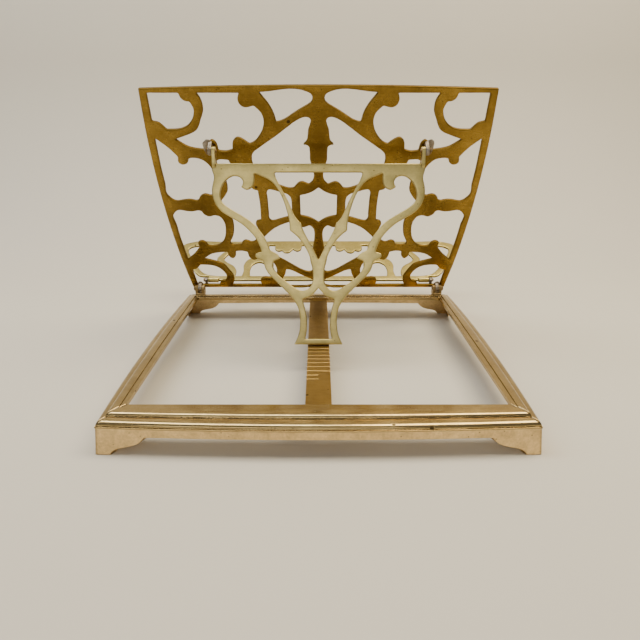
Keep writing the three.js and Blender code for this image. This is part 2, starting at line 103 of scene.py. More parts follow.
class BaseSettings(bpy.types.PropertyGroup):
    apron_height: FloatProperty(
        name="Apron height", description="Height of the apron's lower edge above the table",
        default=13 * MM, unit="LENGTH")
    foot_width: FloatProperty(
        name="Foot width", description="Flat of a bracket foot, measured from the mitre",
        default=9.5 * MM, unit="LENGTH")
    foot_sweep: FloatProperty(
        name="Foot sweep", description="Length of the curve from a foot up to the apron",
        default=22.5 * MM, unit="LENGTH")
    foot_splay: FloatProperty(
        name="Foot splay", description="How far the feet lean outward at the table",
        default=2.6 * MM, unit="LENGTH")
    notch_pitch: FloatProperty(
        name="Notch pitch", description="Distance between two filed notches of the bar",
        default=6.7 * MM, unit="LENGTH")
    notch_depth: FloatProperty(
        name="Notch depth", description="Depth of a filed notch", default=1.1 * MM, unit="LENGTH")
    notch_count: IntProperty(
        name="Notches", description="Number of filed notches", default=10, min=1)


def colour(name, description, default):
    return FloatVectorProperty(
        name=name, description=description, default=default, size=3, subtype="COLOR", min=0, max=1)


class FinishSettings(bpy.types.PropertyGroup):
    panel: colour("Panel brass", "Deep golden brass of the panel", (0.34, 0.215, 0.04))
    # panel_dark also paints shade on the panel's and the ledge's hole walls.
    panel_dark: colour("Panel tarnish", "Brown tarnish of the panel", (0.12, 0.068, 0.012))
    strut: colour("Strut brass", "Pale handled brass of the strut", (0.66, 0.53, 0.20))
    # strut_dark also paints shade on the strut's hole walls.
    strut_dark: colour("Strut tarnish", "Greenish tarnish of the strut", (0.33, 0.26, 0.08))
    base: colour("Moulding brass", "Polished brass of the base", (0.47, 0.345, 0.15))
    base_dark: colour("Moulding tarnish", "Pinkish brown tarnish of the base", (0.21, 0.13, 0.05))
    bar: colour("Bar brass", "Golden brown brass of the notched bar", (0.42, 0.27, 0.075))
    bar_dark: colour("Bar tarnish", "Brown tarnish of the notched bar", (0.20, 0.12, 0.035))
    apron: colour("Apron brass", "Sandy matt brass of the apron", (0.96, 0.71, 0.35))
    solder: colour("Solder", "Dull grey solder", (0.40, 0.37, 0.32))
    pin: colour("Pin", "Dark peened pin", (0.16, 0.11, 0.06))


class StageSettings(bpy.types.PropertyGroup):
    focal_length: FloatProperty(
        name="Focal length", description="Camera lens in millimetres", default=27.06, min=1)
    pitch: FloatProperty(
        name="Pitch", description="How far the camera looks down",
        default=math.radians(22.78), subtype="ANGLE")
    camera_height: FloatProperty(
        name="Camera height", description="Lens above the table", default=210.5 * MM, unit="LENGTH")
    camera_distance: FloatProperty(
        name="Camera distance", description="Lens from the middle of the base, level",
        default=395 * MM, unit="LENGTH")
    floor: colour("Floor", "Pale floor and backdrop", (0.60, 0.555, 0.475))


class BookStandSettings(bpy.types.PropertyGroup):
    casting: PointerProperty(type=CastingSettings)
    base: PointerProperty(type=BaseSettings)
    finish: PointerProperty(type=FinishSettings)
    stage: PointerProperty(type=StageSettings)


# ---- shader expressions ---------------------------------------------------------------------
class Value:
    """A node's output that Python arithmetic works on; each operation adds one Math node."""

    def __init__(self, finish, socket):
        self.finish = finish
        self.socket = socket

    def math(self, operation, *operands, clamp=False):
        settings = {"operation": operation, "use_clamp": clamp}
        return self.finish.node("ShaderNodeMath", settings, dict(enumerate(operands)))

    def __add__(self, other):
        return self.math("ADD", self, other)

    __radd__ = __add__

    def __sub__(self, other):
        return self.math("SUBTRACT", self, other)

    def __rsub__(self, other):
        return self.math("SUBTRACT", other, self)

    def __mul__(self, other):
        return self.math("MULTIPLY", self, other)

    def clamped(self):
        return self.math("ADD", self, 0.0, clamp=True)


class Finish:
    """One material and the nodes that make it."""

    def __init__(self, name):
        self.material = bpy.data.materials.new(name)
        self.material.use_nodes = True
        self.tree = self.material.node_tree
        self.tree.nodes.clear()

    def node(self, kind, settings=None, inputs=None, output=0):
        """Adds a node, makes its settings and then its sockets' values or links; gives one output."""
        made = self.tree.nodes.new(kind)
        for key, value in (settings or {}).items():
            setattr(made, key, value)
        for key, value in (inputs or {}).items():
            if isinstance(value, Value):
                self.tree.links.new(value.socket, made.inputs[key])
            else:
                made.inputs[key].default_value = value
        return Value(self, made.outputs[output])

    def place(self, stretch=(1, 1, 1), turn=(0, 0, 0)):
        """Object coordinates, stretched and turned."""
        where = self.node("ShaderNodeTexCoord", output="Object")
        return self.node("ShaderNodeMapping", None, {"Vector": where, "Scale": stretch, "Rotation": turn})

    def noise(self, where, scale, detail=2.0, roughness=0.5):
        inputs = {"Vector": where, "Scale": scale, "Detail": detail, "Roughness": roughness}
        return self.node("ShaderNodeTexNoise", None, inputs)

    def pits(self, where, scale, share, size):
        """1 inside round specks: some cells of a Voronoi pattern, near their middles."""
        distance = self.node("ShaderNodeTexVoronoi", None, {"Vector": where, "Scale": scale})
        cell = self.node("ShaderNodeTexVoronoi", None, {"Vector": where, "Scale": scale}, output="Color")
        chosen = self.node("ShaderNodeSeparateColor", None, {"Color": cell})
        picked = self.node("ShaderNodeMath", {"operation": "LESS_THAN"}, {0: chosen, 1: share})
        return ((size - distance) * (3.0 / size)).clamped() * picked

    def attribute(self, name):
        return self.node("ShaderNodeAttribute", {"attribute_name": name}, output="Fac")

    def mix(self, factor, first, second):
        """Goes from the first colour to the second; 0, 6, 7 and 2 are the Mix node's colour sockets."""
        return self.node("ShaderNodeMix", {"data_type": "RGBA"}, {0: factor, 6: first, 7: second}, output=2)

    def bump(self, height, strength, distance, normal=None):
        inputs = {"Height": height, "Strength": strength, "Distance": distance}
        if normal:
            inputs["Normal"] = normal
        return self.node("ShaderNodeBump", None, inputs)

    def surface(self, inputs):
        """Ends the tree in a Principled shader with these values and links; gives the material."""
        shader = self.node("ShaderNodeBsdfPrincipled", None, inputs)
        output = self.tree.nodes.new("ShaderNodeOutputMaterial")
        self.tree.links.new(shader.socket, output.inputs["Surface"])
        return self.material


def rgba(value):
    return (*value, 1.0)


def brass(name, clean, tarnish, roughness, cover=0.5, lines=(0, 0, 0), grain=0.5, matt=None, worn=0.45):
    """Brass: clouded tarnish thinning on worn edges, polish lines, casting grain, pits and painted groove
    shade.

    cover is the share of tarnish, lines turns the polish lines away from the X axis, grain sets the
    casting grain's height, matt is the colour of the unpolished apron and the painted shade of a
    casting's hole walls, where there are any, and worn says how far the arrises are rubbed clean; a
    negative worn paints them darker instead, as painted shade.
    """
    finish = Finish(name)
    where = finish.place()
    patches = finish.noise(where, 26, 4, 0.6)
    clouds = finish.noise(where, 95, 5, 0.65)
    specks = finish.noise(where, 620, 3, 0.6)
    strokes = finish.noise(finish.place((40, 900, 900), lines), 1.0, 3, 0.7)
    fine_strokes = finish.noise(finish.place((90, 2600, 2600), lines), 1.0, 2, 0.6)
    edge = finish.attribute("edge")
    pits = finish.pits(where, 120, 0.045, 0.22)
    small_pits = finish.pits(where, 420, 0.06, 0.26)
    dirt = (pits + small_pits * 0.7).clamped()
    amount = (cover - 0.5 + patches * 1.1 + (clouds - 0.5) * 0.9 + (specks - 0.5) * 0.35)
    amount = (amount - edge * worn + (strokes - 0.5) * 0.3).clamped()
    shade = finish.mix(amount, rgba(clean), rgba(tarnish))
    gloss = roughness + amount * 0.10 + (clouds - 0.5) * 0.12 + (fine_strokes - 0.5) * 0.12 + dirt * 0.3
    height = (specks - 0.5) * 0.35 + (strokes - 0.5) * 0.3 + (fine_strokes - 0.5) * 0.12 - dirt * 1.6
    swell = finish.noise(where, 48, 1, 0.4)
    normal = finish.bump(swell, 0.35, 0.9 * MM)
    # Where the matt attribute is set: the apron's rough sandy matt brass, and on a casting's hole walls a
    # rougher finish carrying painted shade in the matt colour.
    if matt:
        matt_and_wall_shade_mask = finish.attribute("matt")
        sandy_matt_and_wall_shade = finish.mix((clouds * 0.9 + specks * 0.5 - 0.35).clamped(), rgba(matt), rgba(tarnish))
        shade = finish.mix(matt_and_wall_shade_mask, shade, sandy_matt_and_wall_shade)
        gloss = gloss + matt_and_wall_shade_mask * 0.22
        height = height + matt_and_wall_shade_mask * (specks - 0.5) * 1.3
    # Pits get real dirt; where edge is negative, in grooves and the bar's notches, a near-black painted
    # shade is mixed in.
    pit_dirt_and_groove_shade = (dirt * 0.85 + (edge * -0.8).clamped()).clamped()
    shade = finish.mix(pit_dirt_and_groove_shade, shade, (0.05, 0.03, 0.012, 1.0))
    normal = finish.bump(height, grain, 0.12 * MM, normal)
    return finish.surface({
        "Base Color": shade, "Metallic": 1.0, "Roughness": gloss.clamped(), "Normal": normal})


def dull_metal(name, light, dark, roughness, lump):
    """Solder or a peened pin: blotched, rough and lumpy at the scale of a millimetre."""
    finish = Finish(name)
    where = finish.place()
    blotches = finish.noise(where, 230, 4, 0.7)
    specks = finish.noise(where, 1100, 3, 0.6)
    edge = finish.attribute("edge")
    amount = (blotches * 1.6 - 0.35 + (specks - 0.5) * 0.6 - edge * 0.35).clamped()
    shade = finish.mix(amount, rgba(light), rgba(dark))
    normal = finish.bump(blotches + specks * 0.4, 0.7, lump)
    return finish.surface({
        "Base Color": shade, "Metallic": 0.9, "Roughness": (roughness + (blotches - 0.5) * 0.3).clamped(),
        "Normal": normal})


# ---- surfaces -------------------------------------------------------------------------------
def rounded_loop(corner, before, after, steps=8, lead=0.25 * MM):
    """A closed outline with each corner replaced by a parabola.

    The parabola starts `before` short of the corner, ends `after` past it and has the corner as its
    control point; one more point a lead away on either side keeps the straight stretches straight.
    """
    back = np.roll(corner, 1, 0) - corner
    ahead = np.roll(corner, -1, 0) - corner
    back_unit = back / np.linalg.norm(back[:, :2], axis=1, keepdims=True)
    ahead_unit = ahead / np.linalg.norm(ahead[:, :2], axis=1, keepdims=True)
    start = corner + back_unit * before[:, None]
    end = corner + ahead_unit * after[:, None]
    t = np.linspace(0, 1, steps)[None, :, None]
    bend = (1 - t) ** 2 * start[:, None] + 2 * t * (1 - t) * corner[:, None] + t ** 2 * end[:, None]
    ahead_of = (start + lead * back_unit)[:, None]
    behind = (end + lead * ahead_unit)[:, None]
    return np.concatenate([ahead_of, bend, behind], 1).reshape(-1, corner.shape[1])


def grid_faces(rows, columns, wrap_rows=False):
    """Quads of a grid whose columns close on themselves, and whose rows do so if asked."""
    row = np.arange(rows if wrap_rows else rows - 1)[:, None]
    column = np.arange(columns)[None, :]
    beside = (column + 1) % columns
    here = row * columns
    below = (row + 1) % rows * columns
    quads = [here + column, below + column, below + beside, here + beside]
    return np.stack(np.broadcast_arrays(*quads), -1).reshape(-1, 4)


def shell(points, faces, edge=None, matt=None):
    """A closed surface as a dictionary, with its wear and matt values, which also carry painted shade."""
    blank = np.zeros(len(points))
    return {"points": points, "faces": [list(face) for face in faces],
            "edge": blank if edge is None else edge, "matt": blank if matt is None else matt}


def piece(name, shells, body, nodes, material):
    """Joins shells into one welded, outward-facing mesh that rides on a body and stands for nodes."""
    starts = np.cumsum([0] + [len(part["points"]) for part in shells])
    faces = [[corner + int(start) for corner in face]
             for part, start in zip(shells, starts) for face in part["faces"]]
    mesh = bpy.data.meshes.new(name)
    mesh.from_pydata(np.concatenate([part["points"] for part in shells]).tolist(), [], faces)
    for key in ("edge", "matt"):
        layer = mesh.attributes.new(key, "FLOAT", "POINT")
        layer.data.foreach_set("value", np.concatenate([part[key] for part in shells]).astype(np.float32))
    work = bmesh.new()
    work.from_mesh(mesh)
    bmesh.ops.remove_doubles(work, verts=work.verts, dist=2e-7)
    bmesh.ops.recalc_face_normals(work, faces=work.faces)
    work.to_mesh(mesh)
    work.free()
    mesh.shade_smooth()
    mesh.materials.append(material)
    made = bpy.data.objects.new(name, mesh)
    bpy.context.scene.collection.objects.link(made)
    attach(made, body)
    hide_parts(*nodes)
    return made


def lathe(profile, centre, steps=40):
    """A profile of (place along X, radius) turned about an axis along X through the centre."""
    angle = np.linspace(0, 2 * math.pi, steps, endpoint=False)
    along = np.repeat(profile[:, :1], steps, 1)
    points = np.stack([along, profile[:, 1:] * np.cos(angle), profile[:, 1:] * np.sin(angle)], -1)
    points[..., 1:] += centre[1:]
    worn = np.repeat(np.abs(np.gradient(profile[:, 1])) > 0.02 * MM, steps)
    return shell(points.reshape(-1, 3), grid_faces(len(profile), steps), worn * 0.6)


def block(centre, half, squareness=0.28, axes=np.eye(3), lump=0.0):
    """A rounded block: a sphere whose cosines and sines are raised to a small power, then stretched.

    Squareness 1 is an ellipsoid and 0 a sharp box; lump swells it unevenly.
    """
    rows, columns = 25, 48
    tall = np.linspace(-math.pi / 2, math.pi / 2, rows)[:, None]
    turn = np.linspace(0, 2 * math.pi, columns, endpoint=False)[None, :]

    def power(value):
        return np.sign(value) * np.abs(value) ** squareness

    waves = np.sin(3 * turn + 1) * np.cos(tall) + 0.6 * np.sin(5 * turn + 4 * tall) * np.cos(tall)
    swell = 1 + lump * waves
    local = np.stack([
        power(np.cos(tall)) * power(np.cos(turn)) * swell * half[0],
        power(np.cos(tall)) * power(np.sin(turn)) * swell * half[1],
        np.broadcast_to(power(np.sin(tall)), swell.shape) * half[2]], -1)
    points = local.reshape(-1, 3) @ np.asarray(axes) + centre
    return shell(points, grid_faces(rows, columns))


def eye(ends, centre, head, bore, foot_direction, foot_distance, foot_half):
    """An eye plate: a rounded rectangle carried round a pin's axis.

    The section runs out from the bore to a rim whose radius depends on the angle: round at the
    head, then straight from the head's widest place to the ends of a flat foot.
    """
    steps = 72
    angle = np.linspace(0, 2 * math.pi, steps, endpoint=False)[:, None]
    towards = math.atan2(foot_direction[2], foot_direction[1])
    away = np.abs((angle - towards + math.pi) % (2 * math.pi) - math.pi)
    lean = (foot_half - head) / foot_distance
    side = head / np.maximum(np.sin(away) - lean * np.cos(away), 1e-6)
    foot = foot_distance / np.maximum(np.cos(away), 1e-6)
    rim = np.where(away >= math.pi / 2, head, np.minimum(side, foot))
    low, high = sorted(ends)
    width = high - low
    square = np.array([[0.0, 0.0], [1.0, 0.0], [1.0, 1.0], [0.0, 1.0]])
    rounding = np.full(4, 0.14)
    section = rounded_loop(square, rounding, rounding, 5, lead=0.05)
    radius = bore + (rim - bore) * section[:, 0]
    place = np.broadcast_to(low + width * section[:, 1], radius.shape)
    points = np.stack([place, centre[1] + radius * np.cos(angle), centre[2] + radius * np.sin(angle)], -1)
    return shell(points.reshape(-1, 3), grid_faces(steps, len(section), wrap_rows=True))


# ---- pierced castings -----------------------------------------------------------------------
def largest_face(node):
    """The CAD node's largest flat face: its in-plane axes, its height and that of the face behind
    it, and the face's triangles in the plane."""
    mesh = frame["nodes"][node].data
    mesh.calc_loop_triangles()
    places = np.empty(3 * len(mesh.vertices), np.float32)
    mesh.vertices.foreach_get("co", places)
    index = np.empty(3 * len(mesh.loop_triangles), np.int32)
    mesh.loop_triangles.foreach_get("vertices", index)
    triangle = places.reshape(-1, 3).astype(float)[index].reshape(-1, 3, 3)
    cross = np.cross(triangle[:, 1] - triangle[:, 0], triangle[:, 2] - triangle[:, 0])
    area = np.linalg.norm(cross, axis=1)
    normal = cross / np.maximum(area, 1e-15)[:, None]
    biggest = area.argmax()
    up = normal[biggest]
    along = np.cross(up, ACROSS)
    height = triangle.mean(1) @ up
    behind = height[np.where(normal @ up < -0.999, area, 0).argmax()]
    chosen = (np.abs(triangle @ up - height[biggest]) < 0.02 * MM).all(1)
    return up, along, height[biggest], behind, triangle[chosen] @ np.stack([ACROSS, along], 1)


def rims(flat):
    """The closed outlines of a flat set of triangles, each with the metal on its left.

    An edge that no triangle runs back along is on a rim and says which point follows which. The
    chains are put in order by doubling: every point learns its chain's lowest point and how many
    steps ahead that is, from a jump that doubles in length each time.
    """
    keys = np.round(flat.reshape(-1, 2) / (0.005 * MM)).astype(np.int64)
    _, first, number = np.unique(keys, axis=0, return_index=True, return_inverse=True)
    number = number.reshape(-1, 3)
    count = len(first)
    start = number.ravel()
    end = np.roll(number, -1, 1).ravel()
    free = ~np.isin(start * count + end, end * count + start)
    follow = np.arange(count)
    follow[start[free]] = end[free]
    lowest = np.arange(count)
    jump = follow.copy()
    for _ in range(count.bit_length()):
        lowest = np.minimum(lowest, lowest[jump])
        jump = jump[jump]
    at_head = lowest == np.arange(count)
    jump = np.where(at_head, np.arange(count), follow)
    steps = np.where(at_head, 0, 1)
    for _ in range(count.bit_length()):
        steps = steps + steps[jump]
        jump = jump[jump]
    member = np.flatnonzero(follow != np.arange(count))
    order = member[np.lexsort((-steps[member], lowest[member]))]
    breaks = np.flatnonzero(np.diff(lowest[order])) + 1
    return np.split(flat.reshape(-1, 2)[first][order], breaks)


def faired(rim, spacing):
    """A smooth curve through a rim's points, evenly spaced, with its corners kept.

    Each stretch is a cubic. Its end directions are those of the circle through three neighbouring
    points, or of the stretch itself at a corner; the result is softened over one spacing.
    """
    back = rim - np.roll(rim, 1, 0)
    ahead = np.roll(rim, -1, 0) - rim
    back_length = np.linalg.norm(back, axis=1, keepdims=True)
    ahead_length = np.linalg.norm(ahead, axis=1, keepdims=True)
    back_unit = back / back_length
    ahead_unit = ahead / ahead_length
    circle = back_unit * ahead_length + ahead_unit * back_length
    circle /= np.linalg.norm(circle, axis=1, keepdims=True)
    corner = (back_unit * ahead_unit).sum(1, keepdims=True) < math.cos(math.radians(38))
    leave = np.where(corner, ahead_unit, circle) * ahead_length
    arrive = np.where(np.roll(corner, -1, 0), ahead_unit, np.roll(circle, -1, 0)) * ahead_length
    t = np.linspace(0, 1, 8, endpoint=False)[None, :, None]
    start = rim[:, None]
    end = np.roll(rim, -1, 0)[:, None]
    curve = ((2 * t ** 3 - 3 * t ** 2 + 1) * start + (t ** 3 - 2 * t ** 2 + t) * leave[:, None]
             + (3 * t ** 2 - 2 * t ** 3) * end + (t ** 3 - t ** 2) * arrive[:, None]).reshape(-1, 2)
    closed = np.concatenate([curve, curve[:1]])
    travel = np.concatenate([[0], np.cumsum(np.linalg.norm(np.diff(closed, axis=0), axis=1))])
    count = max(12, round(travel[-1] / spacing))
    wanted = np.linspace(0, travel[-1], count, endpoint=False)
    even = np.stack([np.interp(wanted, travel, closed[:, axis]) for axis in (0, 1)], 1)
    return 0.5 * even + 0.25 * (np.roll(even, 1, 0) + np.roll(even, -1, 0))


def inward(rim):
    """Unit vectors into the metal, and how much of an inset each point can take: as much as keeps
    the inset inside the rim's own radius of curvature."""
    step = np.roll(rim, -1, 0) - np.roll(rim, 1, 0)
    length = np.linalg.norm(step, axis=1, keepdims=True)
    tangent = step / length
    following = np.roll(tangent, -1, 0)
    leading = np.roll(tangent, 1, 0)
    turning = (leading[:, 0] * following[:, 1] - leading[:, 1] * following[:, 0]) / length[:, 0]
    return np.stack([-tangent[:, 1], tangent[:, 0]], 1), turning


def nearest(points, rim):
    """Each point's distance to the closest rim point, a few hundred points at a time."""
    groups = np.array_split(points, max(1, len(points) // POINTS_AT_ONCE))
    return np.concatenate([np.sqrt(((g[:, None] - rim[None]) ** 2).sum(-1).min(1)) for g in groups])


def in_metal(points, loops):
    """Whether a ray to the right of each point crosses the rims an odd number of times."""
    start = np.concatenate(loops)
    end = np.concatenate([np.roll(loop, -1, 0) for loop in loops])
    rise = np.where(end[:, 1] == start[:, 1], 1e-12, end[:, 1] - start[:, 1])
    answers = []
    for group in np.array_split(points, max(1, len(points) // POINTS_AT_ONCE)):
        y = group[:, None, 1]
        spans = (start[:, 1] > y) != (end[:, 1] > y)
        crossing = start[:, 0] + (y - start[:, 1]) * (end[:, 0] - start[:, 0]) / rise
        answers.append((spans & (crossing > group[:, None, 0])).sum(1) % 2 == 1)
    return np.concatenate(answers)


def rippled(points, amount, phase):
    """A slow unevenness: three crossing sine waves, 25 to 60 mm long, from 0 down to -amount."""
    x, y = points[:, 0], points[:, 1]
    wave = (np.sin(125 * x + 60 * y + phase) + np.sin(230 * y - 90 * x + 2 * phase)
            + np.sin(170 * x - 190 * y + 3 * phase))
    return -amount * (3 + wave) / 6


def casting(node, settings):
    """A pierced plate with rounded edges and slightly crowned bars.

    Every rim of the CAD face carries the same edge section: a quarter round from the face to the
    wall, the wall, and a quarter round to the back. Each face between the insets is filled with
    triangles, and falls away towards the rims as an exponential of the distance to them.
    """
    up, along, top, bottom, flat = largest_face(node)
    loops = [faired(rim, settings.spacing) for rim in rims(flat) if len(rim) > 4]
    rim = np.concatenate(loops)
    normals, turning = (np.concatenate(values) for values in zip(*map(inward, loops)))
    radius = settings.edge_radius
    inset = radius / np.maximum(1, radius * turning / 0.7)
    quarter = np.linspace(0, math.pi / 2, 5)
    share = np.concatenate([[1.5], 1 - np.sin(quarter)])
    drop = np.concatenate([[0], 1 - np.cos(quarter)]) * radius
    half = (top - bottom) / 2

    def face_height(places, distance, phase):
        crown = settings.crown * np.exp(-distance / (1.6 * MM))
        return half - crown + rippled(places, settings.ripple, phase)

    rings, heights = [], []
    distance = share[:, None] * inset[None]
    places = rim[None] + normals[None] * distance[..., None]
    for way, phase in ((1, 0.4), (-1, 2.1)):
        level = np.stack([face_height(p, d, phase) for p, d in zip(places, distance)]) - drop[:, None]
        rings.append(places[::way])
        heights.append((way * level)[::way])
    rings = np.concatenate(rings)
    heights = np.concatenate(heights)
    middle = (top + bottom) / 2

    def lift(places, height):
        return (places[..., :1] * ACROSS + places[..., 1:] * along + (middle + height)[..., None] * up)

    total = len(rim)
    faces = []
    offset = 0
    for loop in loops:
        faces.append(ring_faces(len(rings), len(loop), total, offset))
        offset += len(loop)
    points = [lift(rings, heights).reshape(-1, 3)]
    wear = np.array([0, 0.3, 0.7, 1, 1, 0.9])
    edge = [np.repeat(np.concatenate([wear, wear[::-1]]), total)]
    lids, lid_points, lid_faces = cap(loops, rings[0], rim)
    for way, ring, phase in ((1, 0, 0.4), (-1, -1, 2.1)):
        level = way * face_height(lid_points, nearest(lid_points, rim), phase)
        level[:len(lids)] = heights[ring][lids]
        base = sum(len(part) for part in points)
        points.append(lift(lid_points, level))
        edge.append(np.zeros(len(lid_points)))
        faces.append((lid_faces if way > 0 else lid_faces[:, ::-1]) + base)
    # The walls' matt values make them rougher and carry painted shade: brass gives them the matt colour.
    wall = np.array([0, 0, 0, 0.2, 0.6, 1])
    matt = np.repeat(np.concatenate([wall, wall[::-1]]), total)
    matt = np.concatenate([matt, np.zeros(sum(len(part) for part in points[1:]))])
    made = shell(np.concatenate(points), [], np.concatenate(edge), matt)
    made["faces"] = [face for part in faces for face in part.tolist()]
    return made, along


def ring_faces(rings, length, total, offset):
    """Quads between the rings of one rim, which starts at offset in every ring."""
    ring = np.arange(rings - 1)[:, None] * total + offset
    here = np.arange(length)[None, :]
    beside = (here + 1) % length
    quads = [ring + here, ring + beside, ring + total + beside, ring + total + here]
    return np.stack(np.broadcast_arrays(*quads), -1).reshape(-1, 4)


def cap(loops, ring, rim):
    """Fills the face between the inset rims with triangles, through a lattice of inner points.

    Gives the inset points' numbers, then every point and the triangles whose middles are metal.
    """
    ends = np.cumsum([len(loop) for loop in loops])
    inset_loops = np.split(ring, ends[:-1])
    low, high = ring.min(0), ring.max(0)
    pitch = 2.6 * MM
    x, y = np.meshgrid(np.arange(low[0], high[0], pitch), np.arange(low[1], high[1], pitch))
    lattice = np.stack([(x + pitch / 2 * (np.arange(len(x)) % 2)[:, None]).ravel(), y.ravel()], 1)
    lattice = lattice[in_metal(lattice, inset_loops)]
    lattice = lattice[nearest(lattice, rim) > 2.0 * MM]
    places = np.concatenate([ring, lattice]) / MM
    number = np.arange(len(ring))
    follow = np.concatenate([np.roll(part, -1) for part in np.split(number, ends[:-1])])
    edges = np.stack([number, follow], 1).tolist()
    found = delaunay_2d_cdt([Vector(p) for p in places], edges, [], 0, 1e-4, True)
    spots = np.array([list(p) for p in found[0]]) * MM
    triangles = np.array([face for face in found[2] if len(face) == 3])
    source = np.array([ids[0] if ids else -1 for ids in found[3]])
    kept = triangles[in_metal(spots[triangles].mean(1), inset_loops)]
    on_rim = (source >= 0) & (source < len(ring))
    order = np.argsort(np.where(on_rim, source, len(places) + 1), kind="stable")
    place_of = np.empty(len(spots), int)
    place_of[order] = np.arange(len(spots))
    spots = spots[order]
    lids = source[order][:on_rim.sum()]
    spots[:len(lids)] = ring[lids]
    return lids, spots, place_of[kept]


# ---- base -----------------------------------------------------------------------------------
def smooth(value):
    """0 below 0, 1 above 1 and 3 v squared - 2 v cubed between them."""
    value = np.clip(value, 0, 1)
    return value * value * (3 - 2 * value)


def foot_profile(distance, settings):
    """Height of the apron's lower edge, from the distance past the foot's flat: a cubic Bezier curve
    that rises steeply, runs out into a shelf and sweeps up to the apron's straight edge."""
    t = np.linspace(0, 1, 60)
    sweep, height = settings.foot_sweep, settings.apron_height
    along = 3 * (1 - t) ** 2 * t * 2.2 * MM + 3 * (1 - t) * t ** 2 * (sweep - 5.5 * MM) + t ** 3 * sweep
    rise = 3 * (1 - t) ** 2 * t * 8 * MM + 3 * (1 - t) * t ** 2 * 2.5 * MM + t ** 3 * height
    return np.interp(distance, along, rise)


def rail_section(top):
    """The rail's section as (inward, height): lip, two rounded bands, flat inner rim, underside and
    the apron board that hangs from it, whose lower edge is drawn at height 0."""
    rows = np.array([
        # inward, height, rounding before and after, all in millimetres
        (0.0, top - LIP_DROP, 0.12, 0.25),
        (0.0, top - 6.25, 0.2, 0.2),
        (0.8, top - 6.2, 0.15, 0.1),
        (0.95, top - 2.85, 2.9, 5.2),
        (6.9, top - 2.85, 0.2, 0.2),
        (7.35, top - 2.3, 0.15, 0.1),
        (7.6, top, 2.0, 5.6),
        (15.1, top, 0.3, 0.25),
        (15.3, top - 0.75, 0.25, 0.2),
        (RAIL_WIDTH, top - 0.75, 0.45, 0.45),
        (RAIL_WIDTH, top - 4.0, 0.4, 0.4),
        (6.8, top - 4.4, 0.5, 0.5),
        (6.2, top - LIP_DROP, 0.2, 0.2),
        (4.2, top - LIP_DROP, 0.2, 0.2),
        (4.2, 0, 0.5, 0.5),
        (APRON_SETBACK, 0, 0.6, 0.6),
        (APRON_SETBACK, top - LIP_DROP, 0.12, 0.12)]) * MM
    return rounded_loop(rows[:, :2], rows[:, 2], rows[:, 3], lead=0.2 * MM)


def sharpness(section, radius):
    """1 on an outline's arrises, -1 in its grooves and 0 on its straight stretches.

    It is the turn between neighbouring steps over the step's length, times the radius; the outline
    runs clockwise, so an arris turns the negative way.
    """
    step = np.roll(section, -1, 0) - section
    length = np.maximum(np.linalg.norm(step, axis=1), 1e-9)
    unit = step / length[:, None]
    before = np.roll(unit, 1, 0)
    turn = before[:, 1] * unit[:, 0] - before[:, 0] * unit[:, 1]
    return np.clip(turn / length * radius, -1, 1)


def rail(settings, turn, across, deep, bow, inner_across, inner_deep, middle, top):
    """A rail: its section carried along a lip that bows outward as 1 - u squared.

    u runs from -1 to 1 between the mitres. Every point lies between the lip and the straight inner
    edge in proportion to how far inward it is, and the apron's lower points drop to the foot
    and lean outward there.
    """
    section = rail_section(top / MM)
    hangs = section[:, 1] < 2 * MM
    flat = 1 - settings.foot_width / across
    sweep = np.linspace(0, settings.foot_sweep + 1 * MM, 40) / across
    u = np.concatenate([np.linspace(-1, -flat, 6)[:-1], -flat + sweep])
    u = np.concatenate([u, np.linspace(u[-1], -u[-1], 48)[1:-1], -u[::-1]])
    lower = foot_profile((flat - np.abs(u)) * across, settings)
    z = section[:, 1] + lower[:, None] * hangs
    below = np.clip(1 - z / (top - LIP_DROP * MM), 0, 1)
    splay = settings.foot_splay * below * smooth((np.abs(u[:, None]) - 0.7) / 0.3)
    inward_share = (section[:, 0] - splay) / section[:, 0].max()
    lip = deep + bow * (1 - u * u)
    x = u[:, None] * (across + (inner_across - across) * inward_share - GAP / 2)
    y = -(lip[:, None] + (inner_deep - lip[:, None]) * inward_share)
    points = np.stack([x, y, z], -1)
    cosine, sine = round(math.cos(turn)), round(math.sin(turn))
    spin = np.array([[cosine, -sine, 0], [sine, cosine, 0], [0, 0, 1]])
    points = points @ spin.T + middle
    count = len(section)
    faces = [*grid_faces(len(u), count).tolist(), list(range(count)),
             list(range((len(u) - 1) * count, len(u) * count))]
    apron = (section[:, 1] < top - 7.3 * MM) & (section[:, 0] < 5.5 * MM)
    # Negative edge values in the grooves get more tarnish and the painted shade of brass.
    edge = np.tile(sharpness(section, 0.5 * MM), len(u))
    return shell(points.reshape(-1, 3), faces, edge, np.tile(apron.astype(float), len(u)))


